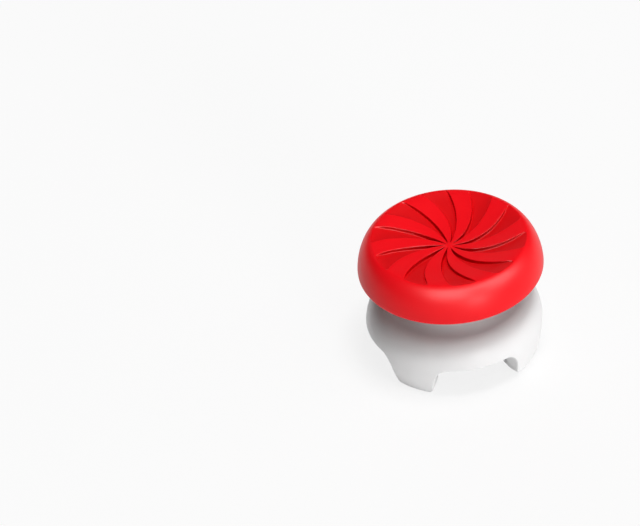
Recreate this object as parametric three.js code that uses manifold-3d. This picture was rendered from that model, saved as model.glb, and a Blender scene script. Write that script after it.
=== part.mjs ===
// Clip-on thumb grip: a soft rubber thumb pad on a rigid clip base.
// Millimetres, +Z up. The origin is the centre of the circle that the leg feet stand on,
// and -Y is the middle of one of the four notches between the legs.
import * as THREE from "three";
import { mergeVertices } from "three/addons/utils/BufferGeometryUtils.js";
import Module from "manifold-3d";

const wasm = await Module();
wasm.setup();

// Round head that the clip's hooks snap under, and its play in the socket
const STICK_HEAD_RADIUS = 8.65;
const STICK_HEAD_HEIGHT = 3.9;
const STICK_CLEARANCE = 0.15;

// Clip legs of the base
const FOOT_RADIUS = 10.4;
const FOOT_FLAT = 0.35;
const FOOT_EDGE_ROUNDING = 0.25;
const HOOK_DEPTH = 0.6;
const HOOK_HEIGHT = 1.2;
const LEG_COUNT = 4;
const NOTCH_ANGLE = 63.2;
const NOTCH_TOP_ANGLE = 54.6;
const NOTCH_HEIGHT = 4.15;
const NOTCH_FILLET = 1.7;
const LEG_CORNER_RADIUS = 0.7;

// Outside of the base
const SKIRT_RADIUS = 11.1;
const SKIRT_HEIGHT = 3.65;
const SHOULDER_WIDTH = 2.6;
const SHOULDER_RISE = 4.0;
const NECK_RADIUS = 6.2;
const COVE_HEIGHT = 0.8;

// Disc at the top of the base, which the rubber pad is moulded around
const FLANGE_RADIUS = 8.6;
const FLANGE_THICKNESS = 1.5;

// Thumb pad
const PAD_RADIUS = 11.5;
const PAD_UNDERSIDE = 11.65;
const PAD_LIP = 0.8;
const PAD_LOWER_WIDTH = 2.1;
const PAD_LOWER_RISE = 0.72;
const PAD_LOWER_POWER = 2.4;
const PAD_UPPER_WIDTH = 2.1;
const PAD_UPPER_RISE = 4.15;
const PAD_UPPER_POWER = 1.75;
const PAD_CLEARANCE = 0.3;
const DISH_DEPTH = 1.25;
const DISH_POWER = 10;

// Swirl of curved bands in the dish, with the panels between them sunk
const BAND_COUNT = 10;
const BAND_START_ANGLE = 1.0;
const BAND_TWIST = 3.22;
const BAND_HUB_ANGLE = 26.2;
const BAND_TAPER = 1.12;
const PANEL_DEPTH = 0.4;
const PANEL_INNER_RADIUS = 1.0;
const PANEL_RIM_MARGIN = 0.15;
const PANEL_CORNER_RADIUS = 0.35;

// Fineness of the faceted surfaces
const ROUND_SEGMENTS = 72;
const CURVE_STEPS = 8;
const CORNER_STEPS = 4;
const MERGE_DISTANCE = 1e-5;

// Heights and radii that follow from the sizes above
const SOCKET_RADIUS = STICK_HEAD_RADIUS + STICK_CLEARANCE;
const HOOK_RADIUS = SOCKET_RADIUS - HOOK_DEPTH;
const SEAT_HEIGHT = HOOK_HEIGHT + STICK_HEAD_HEIGHT;
const SHOULDER_TOP = SKIRT_HEIGHT + SHOULDER_RISE;
const POCKET_FLOOR = PAD_UNDERSIDE + PAD_LIP;
const POCKET_CEILING = POCKET_FLOOR + FLANGE_THICKNESS;
const POCKET_RADIUS = FLANGE_RADIUS + PAD_CLEARANCE;
const POCKET_MOUTH_RADIUS = NECK_RADIUS + PAD_CLEARANCE;
const PAD_WIDEST_HEIGHT = PAD_UNDERSIDE + PAD_LOWER_RISE;
const RIM_HEIGHT = PAD_WIDEST_HEIGHT + PAD_UPPER_RISE;
const RIM_RADIUS = PAD_RADIUS - PAD_UPPER_WIDTH;
const BEYOND = 2;

const radians = THREE.MathUtils.degToRad;

// Number list from 0 to 1 in equal steps, both ends included.
function fractions(steps) {
  return Array.from({ length: steps + 1 }, (_, i) => i / steps);
}

// Quarter of a superellipse, from its widest point (turn 0) to its flat end (turn 1).
function superellipseCorner(radius, height, width, rise, power, steps) {
  return fractions(steps).map((turn) => {
    const angle = turn * Math.PI / 2;
    const out = Math.max(0, Math.cos(angle)) ** (2 / power);
    const up = Math.sin(angle) ** (2 / power);
    return new THREE.Vector2(radius - width + width * out, height + rise * up);
  });
}

// Height of the dish over a radius: it falls as the square of the distance from the axis,
// and a high power of the same distance turns it level at the rim.
function dishHeight(radius) {
  const share = radius / RIM_RADIUS;
  const rise = (DISH_POWER * share ** 2 - 2 * share ** DISH_POWER) / (DISH_POWER - 2);
  return RIM_HEIGHT - DISH_DEPTH + DISH_DEPTH * rise;
}

// Points of the dish from the axis outwards, closer together towards the rim.
function dishProfile(drop, outerRadius) {
  return fractions(CURVE_STEPS).map((turn) => {
    const radius = outerRadius * Math.sin(turn * Math.PI / 2);
    return new THREE.Vector2(radius, dishHeight(radius) - drop);
  });
}

// Closed solid from a three.js geometry, with its vertices merged.
function solidFrom(geometry) {
  geometry.deleteAttribute("normal");
  geometry.deleteAttribute("uv");
  const merged = mergeVertices(geometry, MERGE_DISTANCE);
  return new wasm.Manifold(new wasm.Mesh({
    numProp: 3,
    vertProperties: new Float32Array(merged.attributes.position.array),
    triVerts: new Uint32Array(merged.index.array),
  }));
}

// Solid of revolution about Z. The profile runs anticlockwise in the radius and height plane.
function revolve(profile) {
  const geometry = new THREE.LatheGeometry(profile, ROUND_SEGMENTS);
  geometry.rotateX(Math.PI / 2);
  return solidFrom(geometry);
}

function extrude(shape, depth) {
  return new THREE.ExtrudeGeometry(shape, {
    depth,
    bevelEnabled: false,
    curveSegments: CORNER_STEPS,
  });
}

function turnedCopies(makeSolid, count) {
  return fractions(count).slice(0, -1).map((turn) => makeSolid(turn * 2 * Math.PI));
}

function geometryOf(solid) {
  const mesh = solid.getMesh();
  const geometry = new THREE.BufferGeometry();
  geometry.setAttribute("position", new THREE.BufferAttribute(mesh.vertProperties, 3));
  geometry.setIndex(new THREE.BufferAttribute(mesh.triVerts, 1));
  geometry.computeVertexNormals();
  return geometry;
}

// Inside of the base: the flat feet, the hooks with their lead-in slopes, and the socket.
function socketProfile() {
  return [
    new THREE.Vector2(0, SEAT_HEIGHT),
    new THREE.Vector2(SOCKET_RADIUS, SEAT_HEIGHT),
    new THREE.Vector2(SOCKET_RADIUS, HOOK_HEIGHT),
    new THREE.Vector2(HOOK_RADIUS, HOOK_HEIGHT),
    new THREE.Vector2(FOOT_RADIUS - FOOT_EDGE_ROUNDING - FOOT_FLAT, 0),
  ];
}

// Outside of the skirt: a rounded foot edge, then a wall that swells to the widest radius.
function skirtProfile() {
  const foot = fractions(CORNER_STEPS).map((turn) => {
    const angle = turn * Math.PI / 2;
    return new THREE.Vector2(
      FOOT_RADIUS - FOOT_EDGE_ROUNDING * (1 - Math.sin(angle)),
      FOOT_EDGE_ROUNDING * (1 - Math.cos(angle)),
    );
  });
  const wall = fractions(CURVE_STEPS).slice(1, -1).map((turn) => new THREE.Vector2(
    FOOT_RADIUS + (SKIRT_RADIUS - FOOT_RADIUS) * Math.sin(turn * Math.PI / 2),
    FOOT_EDGE_ROUNDING + (SKIRT_HEIGHT - FOOT_EDGE_ROUNDING) * turn,
  ));
  return [...foot, ...wall];
}

// Upper half of the base: rounded shoulder, hollow cove, neck and flange disc.
function shoulderProfile() {
  const shoulderEnd = SKIRT_RADIUS - SHOULDER_WIDTH;
  const shoulder = superellipseCorner(
    SKIRT_RADIUS, SKIRT_HEIGHT, SHOULDER_WIDTH, SHOULDER_RISE, 2, CURVE_STEPS,
  );
  const cove = fractions(CORNER_STEPS).slice(1).map((turn) => {
    const angle = turn * Math.PI / 2;
    return new THREE.Vector2(
      shoulderEnd - (shoulderEnd - NECK_RADIUS) * Math.sin(angle),
      SHOULDER_TOP + COVE_HEIGHT * (1 - Math.cos(angle)),
    );
  });
  return [
    ...shoulder,
    ...cove,
    new THREE.Vector2(NECK_RADIUS, POCKET_FLOOR),
    new THREE.Vector2(FLANGE_RADIUS, POCKET_FLOOR),
    new THREE.Vector2(FLANGE_RADIUS, POCKET_CEILING),
    new THREE.Vector2(0, POCKET_CEILING),
  ];
}

// Cutter for one notch between two legs. Its outline is drawn at the foot radius and widens
// in proportion to the distance from the axis, so the cut faces of the legs are radial. It
// narrows towards its top, where each leg is broader than at its foot.
function notchCutter(turn) {
  const footHalf = FOOT_RADIUS * Math.tan(radians(NOTCH_ANGLE / 2));
  const topHalf = FOOT_RADIUS * Math.tan(radians(NOTCH_TOP_ANGLE / 2));
  const narrowing = (1 - topHalf / footHalf) / NOTCH_HEIGHT;
  const mouth = footHalf + LEG_CORNER_RADIUS;
  const filletX = footHalf - NOTCH_FILLET;
  const filletY = NOTCH_HEIGHT - NOTCH_FILLET;
  const quarter = Math.PI / 2;
  const outline = new THREE.Shape();
  outline.moveTo(-mouth, -BEYOND);
  outline.lineTo(mouth, -BEYOND);
  outline.absarc(mouth, LEG_CORNER_RADIUS, LEG_CORNER_RADIUS, -quarter, -2 * quarter, true);
  outline.absarc(filletX, filletY, NOTCH_FILLET, 0, quarter, false);
  outline.absarc(-filletX, filletY, NOTCH_FILLET, quarter, 2 * quarter, false);
  outline.absarc(-mouth, LEG_CORNER_RADIUS, LEG_CORNER_RADIUS, 0, -quarter, true);
  const innerReach = HOOK_RADIUS / 2;
  const outerReach = SKIRT_RADIUS + BEYOND;
  const geometry = extrude(outline, outerReach - innerReach);
  const points = geometry.attributes.position;
  for (let i = 0; i < points.count; i += 1) {
    const reach = innerReach + points.getZ(i);
    const height = points.getY(i);
    const across = points.getX(i) * (1 - narrowing * height) * reach / FOOT_RADIUS;
    points.setXYZ(i, reach, across, height);
  }
  geometry.rotateZ(turn);
  return solidFrom(geometry);
}

function clipBase() {
  let solid = revolve([...socketProfile(), ...skirtProfile(), ...shoulderProfile()]);
  for (const cutter of turnedCopies(notchCutter, LEG_COUNT)) {
    solid = solid.subtract(cutter);
  }
  return geometryOf(solid);
}

// Outside of the pad from the underside to the rim, the dish, and the pocket for the flange.
function padProfile() {
  const lower = superellipseCorner(
    PAD_RADIUS, PAD_WIDEST_HEIGHT, PAD_LOWER_WIDTH, -PAD_LOWER_RISE, PAD_LOWER_POWER, CORNER_STEPS,
  ).reverse();
  const upper = superellipseCorner(
    PAD_RADIUS, PAD_WIDEST_HEIGHT, PAD_UPPER_WIDTH, PAD_UPPER_RISE, PAD_UPPER_POWER, CURVE_STEPS,
  ).slice(1, -1);
  return [
    new THREE.Vector2(0, POCKET_CEILING),
    new THREE.Vector2(POCKET_RADIUS, POCKET_CEILING),
    new THREE.Vector2(POCKET_RADIUS, POCKET_FLOOR),
    new THREE.Vector2(POCKET_MOUTH_RADIUS, POCKET_FLOOR),
    new THREE.Vector2(POCKET_MOUTH_RADIUS, PAD_UNDERSIDE),
    ...lower,
    ...upper,
    ...dishProfile(0, RIM_RADIUS).reverse(),
  ];
}

// Angles of the two edges of a band over the radius: the middle of the band turns steadily
// with the radius, and the band takes a little less angle further out.
function bandEdge(radius, side) {
  const middle = BAND_START_ANGLE + BAND_TWIST * radius;
  const halfAngle = (BAND_HUB_ANGLE - BAND_TAPER * radius) / 2;
  return radians(middle + side * halfAngle);
}

// Outline of one sunk panel, from the far edge of a band to the near edge of the next one.
function panelOutline() {
  const pitch = 2 * Math.PI / BAND_COUNT;
  const outer = RIM_RADIUS - PANEL_RIM_MARGIN;
  const point = (radius, angle) => new THREE.Vector2(radius * Math.cos(angle), radius * Math.sin(angle));
  const side = (radius, which) => (which > 0 ? bandEdge(radius, 1) : bandEdge(radius, -1) + pitch);
  const radii = fractions(CURVE_STEPS).map(
    (turn) => PANEL_INNER_RADIUS + (outer - PANEL_CORNER_RADIUS - PANEL_INNER_RADIUS) * turn,
  );
  const cornerAngle = PANEL_CORNER_RADIUS / outer;
  const corner = (which) => fractions(CORNER_STEPS).slice(1).map((turn) => {
    const angle = turn * Math.PI / 2;
    return point(
      outer - PANEL_CORNER_RADIUS * (1 - Math.sin(angle)),
      side(outer, which) + which * cornerAngle * (1 - Math.cos(angle)),
    );
  });
  const rimStart = side(outer, 1) + cornerAngle;
  const rimEnd = side(outer, -1) - cornerAngle;
  const rim = fractions(CORNER_STEPS).slice(1, -1).map(
    (turn) => point(outer, rimStart + (rimEnd - rimStart) * turn),
  );
  return [
    ...radii.map((radius) => point(radius, side(radius, 1))),
    ...corner(1),
    ...rim,
    ...corner(-1).reverse(),
    ...radii.map((radius) => point(radius, side(radius, -1))).reverse(),
  ];
}

// Everything above the floor of the sunk panels, out to the rim.
function abovePanelFloor() {
  return revolve([
    ...dishProfile(PANEL_DEPTH, RIM_RADIUS),
    new THREE.Vector2(RIM_RADIUS, RIM_HEIGHT + BEYOND),
    new THREE.Vector2(0, RIM_HEIGHT + BEYOND),
  ]);
}

function thumbPad() {
  const outline = new THREE.Shape(panelOutline());
  const region = abovePanelFloor();
  const panelCutter = (turn) => {
    const geometry = extrude(outline, DISH_DEPTH + PANEL_DEPTH + 2 * BEYOND);
    geometry.translate(0, 0, RIM_HEIGHT - DISH_DEPTH - PANEL_DEPTH - BEYOND);
    geometry.rotateZ(turn);
    return solidFrom(geometry).intersect(region);
  };
  let solid = revolve(padProfile());
  for (const cutter of turnedCopies(panelCutter, BAND_COUNT)) {
    solid = solid.subtract(cutter);
  }
  return geometryOf(solid);
}

const whitePlastic = new THREE.MeshStandardMaterial({ color: 0xf2f2f2, roughness: 0.35, metalness: 0 });
const redRubber = new THREE.MeshStandardMaterial({ color: 0xe3121d, roughness: 0.55, metalness: 0 });

const clipBaseMesh = new THREE.Mesh(clipBase(), whitePlastic);
clipBaseMesh.name = "clip_base";

const thumbPadMesh = new THREE.Mesh(thumbPad(), redRubber);
thumbPadMesh.name = "thumb_pad";

const thumbGrip = new THREE.Group();
thumbGrip.add(clipBaseMesh, thumbPadMesh);

export default thumbGrip;
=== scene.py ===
import math

import bmesh
import bpy
import numpy as np
from bpy.props import FloatProperty, FloatVectorProperty, IntProperty, PointerProperty
from mathutils import Matrix, Vector


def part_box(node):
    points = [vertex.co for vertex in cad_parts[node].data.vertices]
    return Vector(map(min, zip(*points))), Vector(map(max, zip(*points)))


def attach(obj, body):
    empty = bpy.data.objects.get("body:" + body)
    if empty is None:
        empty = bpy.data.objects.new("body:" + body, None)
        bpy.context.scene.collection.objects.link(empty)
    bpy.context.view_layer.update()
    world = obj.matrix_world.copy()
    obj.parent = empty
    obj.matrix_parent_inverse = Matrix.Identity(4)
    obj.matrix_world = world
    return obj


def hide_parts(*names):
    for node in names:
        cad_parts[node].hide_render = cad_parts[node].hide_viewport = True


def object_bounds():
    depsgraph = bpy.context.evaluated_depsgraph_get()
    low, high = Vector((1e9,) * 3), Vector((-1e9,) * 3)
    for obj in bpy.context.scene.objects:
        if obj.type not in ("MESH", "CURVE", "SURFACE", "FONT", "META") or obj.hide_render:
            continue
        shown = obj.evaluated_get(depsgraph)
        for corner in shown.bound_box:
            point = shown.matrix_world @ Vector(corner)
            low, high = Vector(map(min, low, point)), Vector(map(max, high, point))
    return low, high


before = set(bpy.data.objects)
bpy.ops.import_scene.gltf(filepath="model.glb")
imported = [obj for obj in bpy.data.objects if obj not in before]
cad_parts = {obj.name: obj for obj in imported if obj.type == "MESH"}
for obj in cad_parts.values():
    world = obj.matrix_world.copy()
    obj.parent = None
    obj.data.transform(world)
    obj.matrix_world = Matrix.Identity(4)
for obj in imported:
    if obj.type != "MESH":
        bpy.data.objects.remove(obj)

CAD_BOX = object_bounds()
PAD_LOW, PAD_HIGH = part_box("thumb_pad")
BASE_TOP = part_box("clip_base")[1].z

bl_info = {
    "name": "Thumb Grip",
    "version": (1, 0, 0),
    "blender": (4, 5, 0),
    "location": "View3D > Sidebar > Thumb Grip",
    "description": "Builds a clip-on thumb grip with a swirl relief, its finishes and a plain studio",
    "category": "Add Mesh",
}

QUARTER = math.pi / 2
FULL_TURN = 2 * math.pi

PAD_PIECE = "thumb_pad_rubber"
BASE_PIECE = "clip_base_plastic"

# Steps of the pad's grid: across a band and a panel, and out from the axis
BAND_STEPS = 18
PANEL_STEPS = 34
POLE_STEPS = 3
HUB_STEPS = 11
DISH_STEPS = 57
CORNER_STEPS = 13

# Steps of the pad's section
UPPER_EDGE_STEPS = 26
LOWER_EDGE_STEPS = 14
MOUTH_STEPS = 4

# Steps of a notch's outline
OUTLINE_STEPS = 10
NOTCH_TOP_STEPS = 12

# Steps of the base's section
NECK_STEPS = 5
COVE_STEPS = 14
SHOULDER_STEPS = 26
WALL_STEPS = 20
EDGE_STEPS = 5
CUT_STEPS = 4
SLOPE_STEPS = 10
HOOK_TIP_STEPS = 5
SHELF_STEPS = 3
SOCKET_STEPS = 14

# Innermost ring of the dish, as a share of the hub's radius
FIRST_RING = 0.2

# Radius at which the panels have their full depth, in hub radii
FULL_DEPTH_AT = 3

# Strips of crowded columns at a panel's edge: the share of the columns that each strip takes,
# its width in metres on the band and in the panel, and the largest share of either that it
# takes up
CROWDED_SHARE = 0.36
BAND_STRIP = 0.00025
PANEL_STRIP = 0.00034
WIDEST_BAND_STRIP = 0.3
WIDEST_PANEL_STRIP = 0.36

# Walls of the relief: steepness, width at the hub as a share of the full width, and in widths of
# the wall the places of the groove and of the crease, a band of painted shade, and the crease's width
WALL_STEEPNESS = 4.4
HUB_WALL = 0.3
GROOVE_PLACE = 2.4
CREASE_PLACE = 0.95
CREASE_WIDTH = 0.7

# Share of the panels' painted shade that is left where their depth has run out at the rim
RIM_SHADE = 0.7

# Where the underside's darker colour, painted shade under the pad, begins on the pad's lower
# edge, and the height over which it takes over, as shares of the edge's rise
UNDERSIDE_START = 0.3
UNDERSIDE_FADE = 0.2

# Roundings, in metres, at the mouth of the pad's pocket and at the tip of the hooks
MOUTH_ROUND = 0.0001
HOOK_TIP_ROUND = 0.00012

# Rounding of the legs' inner edges, as a share of the outer one
INNER_EDGE = 0.4

# Height in metres above the notches at which the base's rings are even again
SEAM_RISE = 0.0008

# Rings of the socket's seat, as shares of its radius
SEAT_RINGS = (0.98, 0.8, 0.5, 0.2)

# Rise from point to point that keeps the heights of the socket's section in order on its flats
TINY_RISE = 1e-9

# Points closer than this are one point
MERGE_DISTANCE = 1e-8

# Edges of the plastic that turn by more than this are drawn sharp
SHARP_ANGLE = math.radians(50)

# The floor lies just under the feet
FLOOR_LEVEL = -0.00001


class ThumbPadSizes(bpy.types.PropertyGroup):
    """Sizes of the rubber pad"""

    radius: FloatProperty(
        name="Radius", description="Widest radius of the pad",
        default=PAD_HIGH.x, unit="LENGTH", precision=5,
    )
    underside: FloatProperty(
        name="Underside", description="Height of the flat underside",
        default=PAD_LOW.z, unit="LENGTH", precision=5,
    )
    rim_height: FloatProperty(
        name="Rim Height", description="Height of the crest of the rim",
        default=PAD_HIGH.z, unit="LENGTH", precision=5,
    )
    lower_rise: FloatProperty(
        name="Lower Rise", description="Height from the underside to the widest point",
        default=0.00072, unit="LENGTH", precision=5,
    )
    edge_width: FloatProperty(
        name="Edge Width", description="Radius taken up by the rounded edge, above and below",
        default=0.0021, unit="LENGTH", precision=5,
    )
    lower_power: FloatProperty(
        name="Lower Power", description="Superellipse power of the edge below the widest point",
        default=2.4,
    )
    upper_power: FloatProperty(
        name="Upper Power", description="Superellipse power of the edge above the widest point",
        default=1.75,
    )
    dish_depth: FloatProperty(
        name="Dish Depth", description="Depth of the dish at its middle, below the rim",
        default=0.00125, unit="LENGTH", precision=5,
    )
    dish_power: FloatProperty(
        name="Dish Power", description="How late the dish turns level at the rim",
        default=10,
    )


class SwirlSizes(bpy.types.PropertyGroup):
    """Sizes of the swirl of raised bands and sunk panels"""

    count: IntProperty(name="Bands", description="Number of raised bands", default=10, min=3)
    start: FloatProperty(
        name="Start", description="Angle of the middle of the first band at the hub",
        default=math.radians(1.0), subtype="ANGLE",
    )
    sweep: FloatProperty(
        name="Sweep", description="Turn of a band from the hub to the rim",
        default=math.radians(30.27), subtype="ANGLE",
    )
    hub_angle: FloatProperty(
        name="Hub Angle", description="Angle that a band takes up at the hub",
        default=math.radians(26.2), subtype="ANGLE",
    )
    rim_angle: FloatProperty(
        name="Rim Angle", description="Angle that a band takes up at the rim",
        default=math.radians(15.67), subtype="ANGLE",
    )
    depth: FloatProperty(
        name="Depth", description="Depth of the panels below the bands, at the hub",
        default=0.0005, unit="LENGTH", precision=5,
    )
    taper: FloatProperty(
        name="Taper", description="Share of the panels' depth that is lost from the hub to the rim",
        default=0.45, subtype="FACTOR",
    )
    wall: FloatProperty(
        name="Wall", description="Width of the slope from a band down to a panel",
        default=0.00007, unit="LENGTH", precision=5,
    )
    groove: FloatProperty(
        name="Groove", description="Depth of the fine groove along the foot of each slope",
        default=0.00007, unit="LENGTH", precision=5,
    )
    hub_radius: FloatProperty(
        name="Hub Radius", description="Radius at which the panels begin",
        default=0.00035, unit="LENGTH", precision=5,
    )
    rim_reach: FloatProperty(
        name="Rim Reach", description="How far the panels' outer ends reach past the rim's crest",
        default=0.0002, unit="LENGTH", precision=5,
    )
    run_out: FloatProperty(
        name="Run-out", description="Length over which the panels' depth runs out at the rim",
        default=0.0017, unit="LENGTH", precision=5,
    )
    corner: FloatProperty(
        name="Corner", description="Corner radius of the panels' outer ends",
        default=0.00045, unit="LENGTH", precision=5,
    )


class ClipBaseSizes(bpy.types.PropertyGroup):
    """Sizes of the plastic base"""

    foot_radius: FloatProperty(
        name="Foot Radius", description="Outer radius of the leg feet",
        default=0.0104, unit="LENGTH", precision=5,
    )
    foot_flat: FloatProperty(
        name="Foot Flat", description="Width of the flat under each leg",
        default=0.00035, unit="LENGTH", precision=5,
    )
    skirt_radius: FloatProperty(
        name="Skirt Radius", description="Widest radius of the skirt",
        default=0.0111, unit="LENGTH", precision=5,
    )
    skirt_height: FloatProperty(
        name="Skirt Height", description="Height of the widest point of the skirt",
        default=0.00365, unit="LENGTH", precision=5,
    )
    shoulder_width: FloatProperty(
        name="Shoulder Width", description="Radius taken up by the rounded shoulder",
        default=0.0026, unit="LENGTH", precision=5,
    )
    shoulder_rise: FloatProperty(
        name="Shoulder Rise", description="Height of the rounded shoulder",
        default=0.004, unit="LENGTH", precision=5,
    )
    cove_height: FloatProperty(
        name="Cove Height", description="Height of the hollow between shoulder and neck",
        default=0.0008, unit="LENGTH", precision=5,
    )
    neck_radius: FloatProperty(
        name="Neck Radius", description="Radius of the neck under the pad",
        default=0.0062, unit="LENGTH", precision=5,
    )
    flange_radius: FloatProperty(
        name="Flange Radius", description="Radius of the disc inside the pad",
        default=0.0086, unit="LENGTH", precision=5,
    )
    flange_thickness: FloatProperty(
        name="Flange Thickness", description="Thickness of the disc inside the pad",
        default=0.0015, unit="LENGTH", precision=5,
    )
    socket_radius: FloatProperty(
        name="Socket Radius", description="Inner radius of the legs above their hooks",
        default=0.0088, unit="LENGTH", precision=5,
    )
    seat_height: FloatProperty(
        name="Seat Height", description="Height of the socket's flat seat",
        default=0.0051, unit="LENGTH", precision=5,
    )
    hook_depth: FloatProperty(
        name="Hook Depth", description="How far the hooks stand in from the socket's wall",
        default=0.0006, unit="LENGTH", precision=5,
    )
    hook_height: FloatProperty(
        name="Hook Height", description="Height of the shelf on top of the hooks",
        default=0.0012, unit="LENGTH", precision=5,
    )
    edge_round: FloatProperty(
        name="Edge Rounding", description="Rounding of the edges between wall and cut faces",
        default=0.0002, unit="LENGTH", precision=5,
    )
    clearance: FloatProperty(
        name="Clearance", description="Gap between the disc and the pocket of the pad",
        default=0.0003, unit="LENGTH", precision=5,
    )


class NotchSizes(bpy.types.PropertyGroup):
    """Sizes of the notches between the legs"""

    count: IntProperty(name="Notches", description="Number of notches and legs", default=4, min=2)
    foot_angle: FloatProperty(
        name="Foot Angle", description="Angle across a notch at the feet",
        default=math.radians(63.2), subtype="ANGLE",
    )
    top_angle: FloatProperty(
        name="Top Angle", description="Angle across a notch at its top",
        default=math.radians(54.6), subtype="ANGLE",
    )
    height: FloatProperty(
        name="Height", description="Height of the notches",
        default=0.00415, unit="LENGTH", precision=5,
    )
    fillet: FloatProperty(
        name="Fillet", description="Radius of the notches' upper corners",
        default=0.0017, unit="LENGTH", precision=5,
    )
    leg_corner: FloatProperty(
        name="Leg Corner", description="Radius of the lower corners of the legs",
        default=0.0007, unit="LENGTH", precision=5,
    )


class FinishColours(bpy.types.PropertyGroup):
    """Colours of the pad, the base and the studio"""

    band_red: FloatVectorProperty(
        name="Band Red", description="Colour of the rubber on the raised bands and the rim",
        default=(0.95, 0.002, 0.008), subtype="COLOR",
    )
    # Dark red on the underside: painted shade under the pad
    under_shade_red: FloatVectorProperty(
        name="Underside Red", description="Colour of the rubber on the underside",
        default=(0.12, 0.001, 0.002), subtype="COLOR",
    )
    # Darker red in the sunk panels: painted shade of the recess
    panel_shade_red: FloatVectorProperty(
        name="Panel Red", description="Colour of the rubber in the sunk panels",
        default=(0.76, 0.001, 0.004), subtype="COLOR",
    )
    # Dark red on the walls of the relief: painted shade in the creases
    crease_shade_red: FloatVectorProperty(
        name="Crease Red", description="Colour of the rubber on the walls of the relief",
        default=(0.45, 0.0, 0.001), subtype="COLOR",
    )
    base_white: FloatVectorProperty(
        name="Base White", description="Colour of the white plastic",
        default=(0.92, 0.92, 0.92), subtype="COLOR",
    )
    floor_white: FloatVectorProperty(
        name="Floor White", description="Colour of the floor",
        default=(0.9, 0.9, 0.9), subtype="COLOR",
    )


# Each lamp's turn to the right of the camera and its elevation in degrees, its side in metres,
# its power in watts, and whether it acts in matt light, in gloss or in both. A lamp for gloss
# alone lights only the rubber.
LAMPS = (
    ("overhead softbox", 62, 82, 0.40, 9.8, "matt"),
    ("back softbox", 190, 15, 0.60, 1.3, "matt"),
    ("right softbox", 65, 55, 0.80, 2.0, "both"),
    ("low front softbox", 25, 8, 0.32, 6.2, "both"),
    ("low right softbox", 90, 12, 0.40, 0.4, "both"),
    ("front highlight", -8, 42, 0.90, 31.0, "gloss"),
    ("right highlight", 64, 40, 0.90, 25.0, "gloss"),
)


class StudioSizes(bpy.types.PropertyGroup):
    """Camera, lamps, surroundings and floor"""

    elevation: FloatProperty(
        name="Elevation", description="How steeply the camera looks down",
        default=math.radians(38.25), subtype="ANGLE",
    )
    azimuth: FloatProperty(
        name="Azimuth", description="Turn of the camera from the middle of the front notch",
        default=math.radians(-9.4), subtype="ANGLE",
    )
    roll: FloatProperty(
        name="Roll", description="Turn of the camera about its own axis",
        default=math.radians(-6.43), subtype="ANGLE",
    )
    distance: FloatProperty(
        name="Distance", description="Depth of the grip's foot in front of the camera",
        default=0.32863, unit="LENGTH", precision=5,
    )
    offset_right: FloatProperty(
        name="Offset Right", description="How far right of the camera's axis the grip's foot lies",
        default=0.01718, unit="LENGTH", precision=5,
    )
    offset_up: FloatProperty(
        name="Offset Up", description="How far above the camera's axis the grip's foot lies",
        default=-0.00970, unit="LENGTH", precision=5,
    )
    lens: FloatProperty(
        name="Lens", description="Focal length in millimetres",
        default=146.25,
    )
    sensor: FloatProperty(
        name="Sensor", description="Width of the camera's sensor in millimetres",
        default=36,
    )
    lamp_distance: FloatProperty(
        name="Lamp Distance", description="Distance of the lamps from the middle of the grip",
        default=1.2, unit="LENGTH",
    )
    fill_light: FloatProperty(
        name="Fill Light", description="Strength of the white surroundings on the object",
        default=0.05,
    )
    floor_size: FloatProperty(
        name="Floor Size", description="Side of the square floor",
        default=4.0, unit="LENGTH",
    )
    floor_glow: FloatProperty(
        name="Floor Glow", description="Share of plain white in the floor as it is seen",
        default=0.82, subtype="FACTOR",
    )


def spread(start, end, steps, first=True, last=True):
    """Equal steps from a start to an end, with or without those two."""
    return np.linspace(start, end, steps + 1)[0 if first else 1: None if last else -1]


def turns(steps, first=True, last=True):
    """Equal steps from 0 to 1, with or without those two."""
    return spread(0, 1, steps, first, last)


def superellipse(width, rise, power, turn):
    """Quarter superellipse from its widest point: the radius falls as the width times one less
    the cosine of the turn to the power 2/n, and the height grows as the rise times the sine of
    the turn to the power 2/n."""
    angle = turn * QUARTER
    inwards = width * (1 - np.clip(np.cos(angle), 0, 1) ** (2 / power))
    return inwards, rise * np.sin(angle) ** (2 / power)


def skin(name, rings, first_pole, last_pole):
    """Closed mesh over rings of points, with a fan at each end down to a pole."""
    count, columns = rings.shape[:2]
    vertices = np.concatenate([[first_pole], rings.reshape(-1, 3), [last_pole]])
    index = 1 + np.arange(count * columns).reshape(count, columns)
    beside = np.roll(index, -1, axis=1)
    quads = np.stack([index[:-1], index[1:], beside[1:], beside[:-1]], axis=-1).reshape(-1, 4)
    first = np.zeros(columns, int)
    last = np.full(columns, len(vertices) - 1)
    fans = np.concatenate([
        np.stack([first, index[0], beside[0]], axis=-1),
        np.stack([last, beside[-1], index[-1]], axis=-1),
    ])
    mesh = bpy.data.meshes.new(name)
    mesh.from_pydata(vertices.tolist(), [], quads.tolist() + fans.tolist())
    mesh.update()
    mesh.shade_smooth()
    piece = bpy.data.objects.new(name, mesh)
    bpy.context.scene.collection.objects.link(piece)
    return piece


def merge_doubles(mesh):
    """Merges points that lie on each other, and drops the faces that they leave without area."""
    joined = bmesh.new()
    joined.from_mesh(mesh)
    bmesh.ops.remove_doubles(joined, verts=joined.verts, dist=MERGE_DISTANCE)
    joined.to_mesh(mesh)
    joined.free()


def cylinder_points(radius, angle, height):
    """Points of a grid: the radius times the cosine and the sine of the angle, and the
    height."""
    radius, angle, height = np.broadcast_arrays(radius, angle, height)
    return np.stack([radius * np.cos(angle), radius * np.sin(angle), height], axis=-1)


def crowded(fraction, zone):
    """Fraction across a strip in which the outer columns on each side are crowded into a zone at
    the strip's edge: three straight pieces, steep only in the middle."""
    share = CROWDED_SHARE
    low = fraction / share * zone
    high = 1 - (1 - fraction) / share * zone
    middle = zone + (fraction - share) / (1 - 2 * share) * (1 - 2 * zone)
    return np.where(fraction < share, low, np.where(fraction > 1 - share, high, middle))


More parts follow.
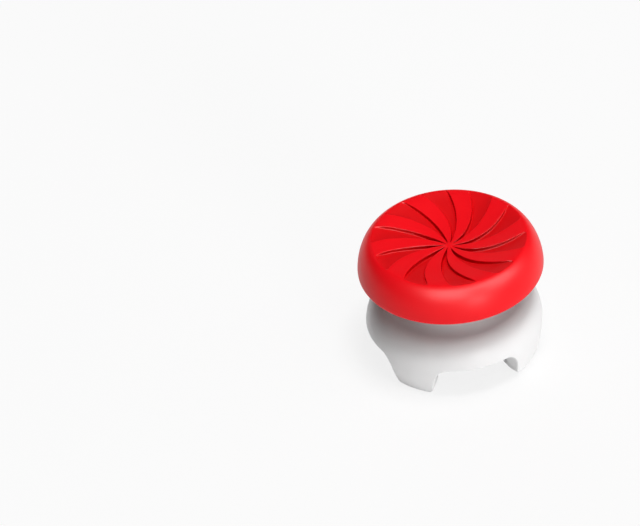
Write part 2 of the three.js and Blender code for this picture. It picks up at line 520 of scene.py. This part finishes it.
def top_height(radius, pad):
    """Height over the radius. In the dish it is the square of the distance from the axis, less a
    high power of it that turns the dish level at the rim. Outside the rim's crest it is the
    superellipse of the pad's rounded edge."""
    rim = pad.radius - pad.edge_width
    share = np.minimum(radius / rim, 1)
    power = pad.dish_power
    rise = (power * share**2 - 2 * share**power) / (power - 2)
    outside = np.clip((radius - rim) / pad.edge_width, 0, 1) ** pad.upper_power
    edge_rise = pad.rim_height - pad.underside - pad.lower_rise
    edge_drop = edge_rise * (1 - (1 - outside) ** (1 / pad.upper_power))
    return pad.rim_height - pad.dish_depth * (1 - rise) - edge_drop


def swirl_grid(radius, swirl, rim_radius):
    """Angles of the columns over the radius, and how far each point lies inside a panel. Columns
    follow the band edges: the middle of a band turns in proportion to the radius, and its angle
    narrows in proportion to it. The distance is taken at right angles to the spiral."""
    share = radius / rim_radius
    pitch = FULL_TURN / swirl.count
    middle = swirl.start + swirl.sweep * share
    band = swirl.hub_angle + (swirl.rim_angle - swirl.hub_angle) * share
    panel = pitch - band
    across = radius / np.sqrt(1 + (swirl.sweep * share) ** 2)
    band_zone = np.minimum(BAND_STRIP / (across * band), WIDEST_BAND_STRIP)
    panel_zone = np.minimum(PANEL_STRIP / (across * panel), WIDEST_PANEL_STRIP)
    in_band = crowded(turns(BAND_STEPS, last=False), band_zone)
    in_panel = crowded(turns(PANEL_STEPS, last=False), panel_zone)
    angles = np.concatenate([
        middle - band / 2 + band * in_band,
        middle + band / 2 + panel * in_panel,
    ], axis=1)
    inside = np.concatenate([
        -np.minimum(in_band, 1 - in_band) * band * across,
        np.minimum(in_panel, 1 - in_panel) * panel * across,
    ], axis=1)
    starts = np.repeat(pitch * np.arange(swirl.count), angles.shape[1])
    return np.tile(angles, swirl.count) + starts, np.tile(inside, swirl.count)


def eased(share):
    """Smooth step from 0 to 1: three times the square less twice the cube."""
    share = np.clip(share, 0, 1)
    return share**2 * (3 - 2 * share)


def panel_relief(radius, inside, swirl, rim_radius):
    """Drop below the top, share of the panels' painted shade and share of the creases' painted
    shade. The distance into a panel is taken to its nearest side or outer end, with a rounded
    corner between them. The wall is a logistic curve of that distance, the groove along its foot
    is a Gaussian dip, and the crease of painted shade is a Gaussian on the wall. The depth grows as a
    smooth step from the hub, falls in proportion to the radius, and runs out as a parabola at the
    rim. The wall's width follows the square root of the depth that is left."""
    end = rim_radius + swirl.rim_reach - radius
    side_gap = np.maximum(swirl.corner - inside, 0)
    end_gap = np.maximum(swirl.corner - end, 0)
    distance = swirl.corner - np.hypot(side_gap, end_gap)
    growth = eased((radius / swirl.hub_radius - 1) / (FULL_DEPTH_AT - 1))
    left = 1 - swirl.taper * radius / rim_radius
    wall = swirl.wall * np.sqrt(left) * (HUB_WALL + (1 - HUB_WALL) * growth)
    sunk = 1 / (1 + np.exp(-(distance - wall) * WALL_STEEPNESS / wall))
    groove = swirl.groove * np.exp(-(((distance - GROOVE_PLACE * wall) / wall) ** 2))
    run_out = 1 - np.clip(1 - end / swirl.run_out, 0, 1) ** 2
    drop = growth * run_out * (swirl.depth * left * sunk + groove)
    # Share of painted shade in the sunk panels, partly fading where their depth runs out
    panel = growth * sunk * (RIM_SHADE + (1 - RIM_SHADE) * run_out)
    # Share of painted shade on the walls, a Gaussian across the wall
    beside = (distance - CREASE_PLACE * wall) / (CREASE_WIDTH * wall)
    crease = growth * run_out * np.exp(-(beside**2))
    return drop, panel, crease


def pad_section(pad, base, start):
    """Outside of the pad from the start radius down: upper edge, lower edge, underside with a
    quarter circle at the pocket's mouth, and the pocket. The upper edge begins at the turn at
    which its superellipse has the start radius."""
    widest = pad.underside + pad.lower_rise
    first = math.acos(((start - pad.radius) / pad.edge_width + 1) ** (pad.upper_power / 2))
    upper_in, upper_up = superellipse(
        pad.edge_width, pad.rim_height - widest, pad.upper_power,
        first / QUARTER * (1 - turns(UPPER_EDGE_STEPS, first=False)),
    )
    lower_in, lower_up = superellipse(
        pad.edge_width, pad.lower_rise, pad.lower_power,
        turns(LOWER_EDGE_STEPS, first=False),
    )
    mouth = base.neck_radius + base.clearance
    pocket = base.flange_radius + base.clearance
    floor = BASE_TOP - base.flange_thickness
    round_off = turns(MOUTH_STEPS) * QUARTER
    radius = np.concatenate([
        pad.radius - upper_in,
        pad.radius - lower_in,
        mouth + MOUTH_ROUND * (1 - np.sin(round_off)),
        [mouth, pocket, pocket, pocket / 2],
    ])
    height = np.concatenate([
        widest + upper_up,
        widest - lower_up,
        pad.underside + MOUTH_ROUND * (1 - np.cos(round_off)),
        [floor, floor, BASE_TOP, BASE_TOP],
    ])
    return radius, height


def underside_share(radius, height, pad):
    """Share of the underside's darker colour, painted shade under the pad, along the section: a
    smooth step of the height on the lower edge, and the whole of it further in."""
    start = pad.underside + UNDERSIDE_START * pad.lower_rise
    faded = eased((start - height) / (UNDERSIDE_FADE * pad.lower_rise))
    return np.where(radius < pad.radius - pad.edge_width, 1.0, faded)


def mark(piece, name, shares):
    """Attribute that gives each point of the rings its share of a colour of painted shade. The pole
    at each end takes the share of the ring beside it."""
    values = np.concatenate([shares[0, :1], shares.ravel(), shares[-1, -1:]])
    piece.data.attributes.new(name, "FLOAT", "POINT").data.foreach_set("value", values)


def dish_radii(swirl, end):
    """Radii of the dish's rings, closer together at the hub and at the panels' corners."""
    hub = swirl.hub_radius
    full_depth = FULL_DEPTH_AT * hub
    corner = end - swirl.corner
    return np.concatenate([
        spread(FIRST_RING, 1, POLE_STEPS) * hub,
        spread(hub, full_depth, HUB_STEPS, first=False),
        spread(full_depth, corner, DISH_STEPS, first=False),
        spread(corner, end, CORNER_STEPS, first=False),
    ])


def thumb_pad(pad, swirl, base):
    """Dish with its swirl relief, worked out over the radius and the columns that follow the
    bands, and below the rim a section carried round the axis."""
    rim = pad.radius - pad.edge_width
    end = rim + swirl.rim_reach
    radius = dish_radii(swirl, end)[:, None]
    angle, inside = swirl_grid(radius, swirl, rim)
    drop, panel, crease = panel_relief(radius, inside, swirl, rim)
    dish = cylinder_points(radius, angle, top_height(radius, pad) - drop)
    section_radius, section_height = pad_section(pad, base, end)
    section = cylinder_points(section_radius[:, None], angle[-1:], section_height[:, None])
    rings = np.concatenate([dish, section])
    piece = skin(PAD_PIECE, rings, (0, 0, top_height(0, pad)), (0, 0, BASE_TOP))
    underside = underside_share(section_radius, section_height, pad)[:, None]
    marks = (
        # Painted shade in the sunk panels
        ("panel", panel, 0),
        # Painted shade on the walls of the relief
        ("crease", crease, 0),
        # Painted shade on the underside
        ("underside", 0, underside),
    )
    for name, in_dish, in_section in marks:
        shares = np.zeros(rings.shape[:2])
        shares[:len(dish)] = in_dish
        shares[len(dish):] = in_section
        mark(piece, name, shares)
    return piece


def notch_outline(base, notch, inset):
    """Half of a notch's outline, from the middle of a leg to the middle of the notch, as angles
    and heights. It is drawn flat at the foot radius: the foot, the leg's corner arc, the side, the
    fillet arc and the top, all moved into the plastic by the inset. The angle is the arc tangent
    of the flat distance over the foot radius, which shrinks in proportion to the height."""
    foot_half = base.foot_radius * math.tan(notch.foot_angle / 2)
    top_half = base.foot_radius * math.tan(notch.top_angle / 2)
    narrowing = (1 - top_half / foot_half) / notch.height
    mouth = foot_half + notch.leg_corner
    leg_middle = base.foot_radius * math.tan(math.pi / notch.count)
    arc = turns(OUTLINE_STEPS, last=False) * QUARTER
    corner = notch.leg_corner - inset
    fillet = notch.fillet + inset
    level = notch.height - notch.fillet
    across = np.concatenate([
        spread(leg_middle, mouth, OUTLINE_STEPS, last=False),
        mouth - corner * np.sin(arc),
        np.full(OUTLINE_STEPS, foot_half + inset),
        foot_half - notch.fillet + fillet * np.cos(arc),
        spread(foot_half - notch.fillet, 0, NOTCH_TOP_STEPS),
    ])
    height = np.concatenate([
        np.full(OUTLINE_STEPS, inset),
        notch.leg_corner - corner * np.cos(arc),
        spread(notch.leg_corner, level, OUTLINE_STEPS, last=False),
        level + fillet * np.sin(arc),
        np.full(NOTCH_TOP_STEPS + 1, notch.height + inset),
    ])
    return np.arctan(across * (1 - narrowing * height) / base.foot_radius), height


def angles_round(half, count):
    """Repeats half an outline's angles, mirrored and then in turned copies, round the base."""
    one = np.concatenate([-half, half[-2:0:-1]])
    starts = FULL_TURN / count * np.arange(count)
    return np.tile(one, count) + np.repeat(starts, len(one))


def heights_round(half, count):
    """Repeats half an outline's heights, mirrored and then in copies, round the base."""
    return np.tile(np.concatenate([half, half[-2:0:-1]]), count)


def whole_outline(base, notch, inset):
    """Angles and heights of the whole wavy lower edge of the base, moved in by the inset."""
    angle, height = notch_outline(base, notch, inset)
    return angles_round(angle, notch.count), heights_round(height, notch.count)


def even_angles(base, notch):
    """Angles of the columns above the notches, in proportion to the outline's length."""
    angle, height = notch_outline(base, notch, 0)
    steps = np.hypot(np.diff(angle) * base.foot_radius, np.diff(height))
    length = np.concatenate([[0], np.cumsum(steps)])
    half = math.pi / notch.count * (1 - length / length[-1])
    return angles_round(half, notch.count)


def skirt_radius(height, base):
    """Outer radius over the height: a quarter sine from the foot out to the widest point, and
    above it a quarter ellipse in to the shoulder."""
    below = np.clip(height / base.skirt_height, 0, 1)
    above = np.clip((height - base.skirt_height) / base.shoulder_rise, 0, 1)
    swell = (base.skirt_radius - base.foot_radius) * np.sin(below * QUARTER)
    return base.foot_radius + swell - base.shoulder_width * (1 - np.sqrt(1 - above**2))


def upper_section(base, start):
    """Outside of the base from the flange down to the start height: flange disc, neck, cove as a
    quarter ellipse, and the shoulder."""
    under = BASE_TOP - base.flange_thickness
    shoulder_end = base.skirt_radius - base.shoulder_width
    shoulder_top = base.skirt_height + base.shoulder_rise
    cove = turns(COVE_STEPS) * QUARTER
    start_turn = math.asin((start - base.skirt_height) / base.shoulder_rise) / QUARTER
    shoulder = (1 - (1 - start_turn) * turns(SHOULDER_STEPS, first=False)) * QUARTER
    radius = np.concatenate([
        [base.flange_radius / 2, base.flange_radius, base.flange_radius],
        np.full(NECK_STEPS, base.neck_radius),
        shoulder_end - (shoulder_end - base.neck_radius) * np.cos(cove),
        base.skirt_radius - base.shoulder_width * (1 - np.cos(shoulder)),
    ])
    height = np.concatenate([
        [BASE_TOP, BASE_TOP, under],
        spread(under, shoulder_top + base.cove_height, NECK_STEPS, last=False),
        shoulder_top + base.cove_height * (1 - np.sin(cove)),
        base.skirt_height + base.shoulder_rise * np.sin(shoulder),
    ])
    return radius, height


def socket_section(base):
    """Inside of a leg from the foot flat up to the seat: lead-in slope, rounded hook, shelf and
    wall, as radius and height over the length along them."""
    hook = base.socket_radius - base.hook_depth
    flat_end = base.foot_radius - base.edge_round - base.foot_flat
    tip = HOOK_TIP_ROUND
    arc = turns(HOOK_TIP_STEPS) * QUARTER
    slope = turns(SLOPE_STEPS)
    radius = np.concatenate([
        flat_end + (hook - flat_end) * slope,
        hook + tip * (1 - np.cos(arc)),
        spread(hook + tip, base.socket_radius, SHELF_STEPS, first=False),
        np.full(SOCKET_STEPS, base.socket_radius),
    ])
    height = np.concatenate([
        (base.hook_height - tip) * slope,
        base.hook_height - tip * (1 - np.sin(arc)),
        np.full(SHELF_STEPS, base.hook_height),
        spread(base.hook_height, base.seat_height, SOCKET_STEPS, first=False),
    ])
    length = np.concatenate([[0], np.cumsum(np.hypot(np.diff(radius), np.diff(height)))])
    return length, radius, height


def first_length(height, section):
    """Length along the socket's section at which it first comes up to a height."""
    length, _, heights = section
    rising = np.maximum.accumulate(heights)
    return np.interp(height, rising + TINY_RISE * np.arange(len(rising)), length)


def outside_rings(base, notch, even):
    """Rings from the flange down the outside. Down to a seam above the notches they are even,
    and below it each ring is a straight blend from the even ring to the wavy outline."""
    seam = notch.height + SEAM_RISE
    radius, height = upper_section(base, seam)
    above = cylinder_points(radius[:, None], even, height[:, None])
    edge_angle, edge_height = whole_outline(base, notch, base.edge_round)
    fall = turns(WALL_STEPS, first=False)[:, None]
    wall_angle = even + (edge_angle - even) * fall
    wall_height = seam + (edge_height - seam) * fall
    wall = cylinder_points(skirt_radius(wall_height, base), wall_angle, wall_height)
    return np.concatenate([above, wall])


def edge_rings(base, notch):
    """Quarter circle between the wall and the cut faces: over its turn, the inset is the
    rounding times one less the sine, and the way inwards is the rounding times one less the
    cosine."""
    rings = []
    for turn in turns(EDGE_STEPS, first=False) * QUARTER:
        inset = base.edge_round * (1 - math.sin(turn))
        inwards = base.edge_round * (1 - math.cos(turn))
        angle, height = whole_outline(base, notch, inset)
        rings.append(cylinder_points(skirt_radius(height, base) - inwards, angle, height))
    return np.array(rings)


def cut_rings(base, notch, section):
    """Cut faces and foot flats: straight from the rounded outer edge in to the socket's section,
    or on a cut face to a small inner edge short of it."""
    length, radius, _ = section
    angle, height = whole_outline(base, notch, 0)
    outer = skirt_radius(height, base) - base.edge_round
    inner = np.interp(first_length(height, section), length, radius)
    inner_edge = np.where(height > 0, INNER_EDGE * base.edge_round, 0)
    across = turns(CUT_STEPS, first=False)[:, None]
    return cylinder_points(outer + (inner + inner_edge - outer) * across, angle, height)


def socket_rings(base, notch, even, section):
    """Inside of the legs and the seat. Each column starts where the section first comes up to
    the wavy outline, and its angle blends from there to the even ring at the seat."""
    length, radius, heights = section
    cut_angle, cut_height = whole_outline(base, notch, 0)
    inset_angle, inset_height = whole_outline(base, notch, INNER_EDGE * base.edge_round)
    angle = np.where(cut_height > 0, inset_angle, cut_angle)
    start = first_length(np.where(cut_height > 0, inset_height, 0), section)
    along = np.maximum(length[:, None], start)
    climb = (along - start) / (length[-1] - start)
    wall = cylinder_points(
        np.interp(along, length, radius),
        angle + (even - angle) * climb,
        np.interp(along, length, heights),
    )
    seat_radius = base.socket_radius * np.array(SEAT_RINGS)
    seat = cylinder_points(seat_radius[:, None], even, base.seat_height)
    return np.concatenate([wall, seat])


def clip_base(base, notch):
    """Base as rings from the flange down the outside, round the wavy lower edge and up the
    inside to the seat."""
    even = even_angles(base, notch)
    section = socket_section(base)
    rings = np.concatenate([
        outside_rings(base, notch, even),
        edge_rings(base, notch),
        cut_rings(base, notch, section),
        socket_rings(base, notch, even, section),
    ])
    piece = skin(BASE_PIECE, rings, (0, 0, BASE_TOP), (0, 0, base.seat_height))
    merge_doubles(piece.data)
    return piece


def new_material(name):
    """New material, with its node tree and its shader."""
    material = bpy.data.materials.new(name)
    material.use_nodes = True
    return material, material.node_tree, material.node_tree.nodes["Principled BSDF"]


def add_node(tree, kind, **settings):
    """New node with its sockets set by name."""
    node = tree.nodes.new(kind)
    for name, value in settings.items():
        node.inputs[name.replace("_", " ")].default_value = value
    return node


def feed(tree, socket, source):
    """Gives a socket a value, or links it to another node's output."""
    if isinstance(source, bpy.types.NodeSocket):
        tree.links.new(source, socket)
    else:
        socket.default_value = source


def reckoned(tree, operation, *terms):
    """Output of a Math node over values or other nodes' outputs."""
    node = tree.nodes.new("ShaderNodeMath")
    node.operation = operation
    for socket, term in zip(node.inputs, terms):
        feed(tree, socket, term)
    return node.outputs["Value"]


def mixed(tree, share, below, above):
    """Colour that goes from one to another as the share goes from 0 to 1."""
    mix = tree.nodes.new("ShaderNodeMix")
    mix.data_type = "RGBA"
    feed(tree, mix.inputs["A"], below)
    feed(tree, mix.inputs["B"], above)
    feed(tree, mix.inputs["Factor"], share)
    return mix.outputs["Result"]


def any_ray(tree, *kinds):
    """1 on a ray of any of the kinds, and 0 on others."""
    rays = tree.nodes.new("ShaderNodeLightPath")
    found = rays.outputs[kinds[0]]
    for kind in kinds[1:]:
        found = reckoned(tree, "MAXIMUM", found, rays.outputs[kind])
    return found


def fine_grain(tree, shader, scale, height, strength):
    """Fine moulded grain: noise on Object coordinates, as bump on the shader. It gives back the
    noise."""
    place = tree.nodes.new("ShaderNodeTexCoord")
    grain = add_node(tree, "ShaderNodeTexNoise", Scale=scale, Detail=4.0, Roughness=0.6)
    bump = add_node(tree, "ShaderNodeBump", Strength=strength, Distance=height)
    tree.links.new(place.outputs["Object"], grain.inputs["Vector"])
    tree.links.new(grain.outputs["Fac"], bump.inputs["Height"])
    tree.links.new(bump.outputs["Normal"], shader.inputs["Normal"])
    return grain.outputs["Fac"]


def remapped(tree, source, low, high):
    """A noise value from 0.3 to 0.7 turned into a range."""
    remap = add_node(
        tree, "ShaderNodeMapRange", From_Min=0.3, From_Max=0.7, To_Min=low, To_Max=high,
    )
    tree.links.new(source, remap.inputs["Value"])
    return remap.outputs["Result"]


def red_rubber(colours):
    """Smooth semi-matte rubber: bright on the bands and the rim, painted shade in the panels and on
    the underside, and painted shade and more gloss on the walls between bands and panels."""
    material, tree, shader = new_material("red rubber")
    grain = fine_grain(tree, shader, scale=9000.0, height=0.000004, strength=0.5)
    shades = {
        "panel": colours.panel_shade_red,
        "crease": colours.crease_shade_red,
        "underside": colours.under_shade_red,
    }
    shares = {}
    colour = (*colours.band_red, 1)
    # Each of these colours is painted shade, mixed over the band red by its mark
    for name, shade in shades.items():
        where = tree.nodes.new("ShaderNodeAttribute")
        where.attribute_name = name
        shares[name] = where.outputs["Fac"]
        colour = mixed(tree, shares[name], colour, (*shade, 1))
    tree.links.new(colour, shader.inputs["Base Color"])
    crease_polish = -0.24
    moulded = remapped(tree, grain, low=0.36, high=0.44)
    roughness = reckoned(tree, "MULTIPLY_ADD", shares["crease"], crease_polish, moulded)
    tree.links.new(roughness, shader.inputs["Roughness"])
    shader.inputs["IOR"].default_value = 1.5
    shader.inputs["Specular IOR Level"].default_value = 0.2
    return material


def white_plastic(colours):
    """Satin moulded plastic with a faint grain."""
    material, tree, shader = new_material("white plastic")
    grain = fine_grain(tree, shader, scale=5000.0, height=0.000003, strength=0.4)
    shader.inputs["Base Color"].default_value = (*colours.base_white, 1)
    tree.links.new(remapped(tree, grain, low=0.30, high=0.40), shader.inputs["Roughness"])
    shader.inputs["IOR"].default_value = 1.5
    shader.inputs["Specular IOR Level"].default_value = 0.2
    return material


def floor_material(colours, glow_share):
    """Pale floor that is seen as near white and still takes the shadow."""
    material, tree, shader = new_material("floor")
    shader.inputs["Base Color"].default_value = (*colours.floor_white, 1)
    shader.inputs["Roughness"].default_value = 0.9
    shader.inputs["Specular IOR Level"].default_value = 0.0
    seen = any_ray(tree, "Is Camera Ray", "Is Glossy Ray", "Is Transmission Ray")
    glow = add_node(tree, "ShaderNodeEmission", Strength=1.0)
    mix = tree.nodes.new("ShaderNodeMixShader")
    tree.links.new(reckoned(tree, "MULTIPLY", seen, glow_share), mix.inputs["Fac"])
    tree.links.new(shader.outputs["BSDF"], mix.inputs[1])
    tree.links.new(glow.outputs["Emission"], mix.inputs[2])
    tree.links.new(mix.outputs["Shader"], tree.nodes["Material Output"].inputs["Surface"])
    return material


def pale_floor(studio, colours):
    """Square floor just under the feet."""
    half = studio.floor_size / 2
    corners = [
        (-half, -half, FLOOR_LEVEL),
        (half, -half, FLOOR_LEVEL),
        (half, half, FLOOR_LEVEL),
        (-half, half, FLOOR_LEVEL),
    ]
    mesh = bpy.data.meshes.new("floor")
    mesh.from_pydata(corners, [], [(0, 1, 2, 3)])
    mesh.materials.append(floor_material(colours, studio.floor_glow))
    floor = bpy.data.objects.new("floor", mesh)
    bpy.context.scene.collection.objects.link(floor)
    return floor


def studio_world(strength):
    """White surroundings: plain white where they are seen, and a soft fill light on the
    object."""
    world = bpy.data.worlds.new("studio")
    world.use_nodes = True
    tree = world.node_tree
    background = tree.nodes["Background"]
    background.inputs["Color"].default_value = (1, 1, 1, 1)
    level = add_node(tree, "ShaderNodeMapRange", To_Min=strength, To_Max=1.0)
    seen = any_ray(tree, "Is Camera Ray", "Is Transmission Ray")
    tree.links.new(seen, level.inputs["Value"])
    tree.links.new(level.outputs["Result"], background.inputs["Strength"])
    bpy.context.scene.world = world


def softbox(name, azimuth, elevation, distance, size, power):
    """Square lamp that faces the middle of the grip from an azimuth and an elevation."""
    target = (Vector(CAD_BOX[0]) + Vector(CAD_BOX[1])) / 2
    flat = math.cos(elevation)
    away = Vector((flat * math.cos(azimuth), flat * math.sin(azimuth), math.sin(elevation)))
    lamp = bpy.data.lights.new(name, "AREA")
    lamp.shape = "SQUARE"
    lamp.size = size
    lamp.energy = power
    holder = bpy.data.objects.new(name, lamp)
    holder.location = target + away * distance
    holder.rotation_euler = (-away).to_track_quat("-Z", "Y").to_euler()
    bpy.context.scene.collection.objects.link(holder)
    return holder


def studio_lamps(studio):
    """Lamps of the table, set round the grip and out of the camera's sight."""
    rubber_only = bpy.data.collections.new("rubber only")
    rubber_only.objects.link(bpy.context.scene.objects[PAD_PIECE])
    facing = studio.azimuth - QUARTER
    for name, turn, elevation, size, power, acts_in in LAMPS:
        lamp = softbox(
            name, facing + math.radians(turn), math.radians(elevation),
            studio.lamp_distance, size, power,
        )
        lamp.visible_camera = False
        lamp.visible_glossy = acts_in != "matt"
        if acts_in == "gloss":
            lamp.visible_diffuse = False
            lamp.light_linking.receiver_collection = rubber_only


def studio_camera(studio):
    """Camera at the photograph's angle. Its axes come from the azimuth, the elevation and the
    roll, and its place is the one that puts the grip's foot at the given offsets and depth."""
    turn = Matrix.Rotation(studio.azimuth, 3, "Z")
    flat = math.cos(studio.elevation)
    steep = math.sin(studio.elevation)
    right = turn @ Vector((1, 0, 0))
    ahead = turn @ Vector((0, flat, -steep))
    up = turn @ Vector((0, steep, flat))
    cosine = math.cos(studio.roll)
    sine = math.sin(studio.roll)
    rolled_right = cosine * right + sine * up
    rolled_up = cosine * up - sine * right
    camera = bpy.data.cameras.new("camera")
    camera.sensor_width = studio.sensor
    camera.lens = studio.lens
    camera.clip_start = 0.01
    camera.clip_end = 20
    holder = bpy.data.objects.new("camera", camera)
    axes = Matrix((rolled_right, rolled_up, -ahead)).transposed()
    holder.rotation_euler = axes.to_euler()
    holder.location = -(
        rolled_right * studio.offset_right + rolled_up * studio.offset_up + ahead * studio.distance
    )
    bpy.context.scene.collection.objects.link(holder)
    bpy.context.scene.camera = holder


class AddThumbPad(bpy.types.Operator):
    """Build the rubber pad with its swirl relief"""

    bl_idname = "thumb_grip.add_pad"
    bl_label = "Add Thumb Pad"

    def execute(self, context):
        scene = context.scene
        piece = thumb_pad(scene.thumb_pad_sizes, scene.swirl_sizes, scene.clip_base_sizes)
        piece.data.materials.append(red_rubber(scene.finish_colours))
        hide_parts("thumb_pad")
        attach(piece, "root")
        return {"FINISHED"}


class AddClipBase(bpy.types.Operator):
    """Build the plastic base with its clip legs"""

    bl_idname = "thumb_grip.add_base"
    bl_label = "Add Clip Base"

    def execute(self, context):
        scene = context.scene
        piece = clip_base(scene.clip_base_sizes, scene.notch_sizes)
        piece.data.set_sharp_from_angle(angle=SHARP_ANGLE)
        piece.data.materials.append(white_plastic(scene.finish_colours))
        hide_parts("clip_base")
        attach(piece, "root")
        return {"FINISHED"}


class AddStudio(bpy.types.Operator):
    """Build the floor, the lamps, the white surroundings and the camera"""

    bl_idname = "thumb_grip.add_studio"
    bl_label = "Add Studio"

    def execute(self, context):
        scene = context.scene
        studio = scene.studio_sizes
        floor = pale_floor(studio, scene.finish_colours)
        studio_world(studio.fill_light)
        studio_lamps(studio)
        studio_camera(studio)
        scene.view_settings.view_transform = "Standard"
        return {"FINISHED"}


class ThumbGripPanel(bpy.types.Panel):
    """Lists the steps and the sizes in the sidebar"""

    bl_idname = "VIEW3D_PT_thumb_grip"
    bl_label = "Thumb Grip"
    bl_space_type = "VIEW_3D"
    bl_region_type = "UI"
    bl_category = "Thumb Grip"

    def draw(self, context):
        for step in BUILD_STEPS:
            self.layout.operator(step.bl_idname)
        for name in SIZE_GROUPS:
            group = getattr(context.scene, name)
            for key in group.__annotations__:
                self.layout.prop(group, key)


SIZE_GROUPS = {
    "thumb_pad_sizes": ThumbPadSizes,
    "swirl_sizes": SwirlSizes,
    "clip_base_sizes": ClipBaseSizes,
    "notch_sizes": NotchSizes,
    "finish_colours": FinishColours,
    "studio_sizes": StudioSizes,
}
BUILD_STEPS = (AddThumbPad, AddClipBase, AddStudio)


def register():
    """Registers the sizes, the operators and the panel."""
    for group in SIZE_GROUPS.values():
        bpy.utils.register_class(group)
    for name, group in SIZE_GROUPS.items():
        setattr(bpy.types.Scene, name, PointerProperty(type=group))
    for tool in (*BUILD_STEPS, ThumbGripPanel):
        bpy.utils.register_class(tool)


def unregister():
    """Takes away what register added, in reverse order."""
    for tool in (ThumbGripPanel, *reversed(BUILD_STEPS)):
        bpy.utils.unregister_class(tool)
    for name, group in reversed(SIZE_GROUPS.items()):
        delattr(bpy.types.Scene, name)
        bpy.utils.unregister_class(group)


def main():
    register()
    bpy.ops.thumb_grip.add_pad()
    bpy.ops.thumb_grip.add_base()
    bpy.ops.thumb_grip.add_studio()


if __name__ == "__main__":
    main()
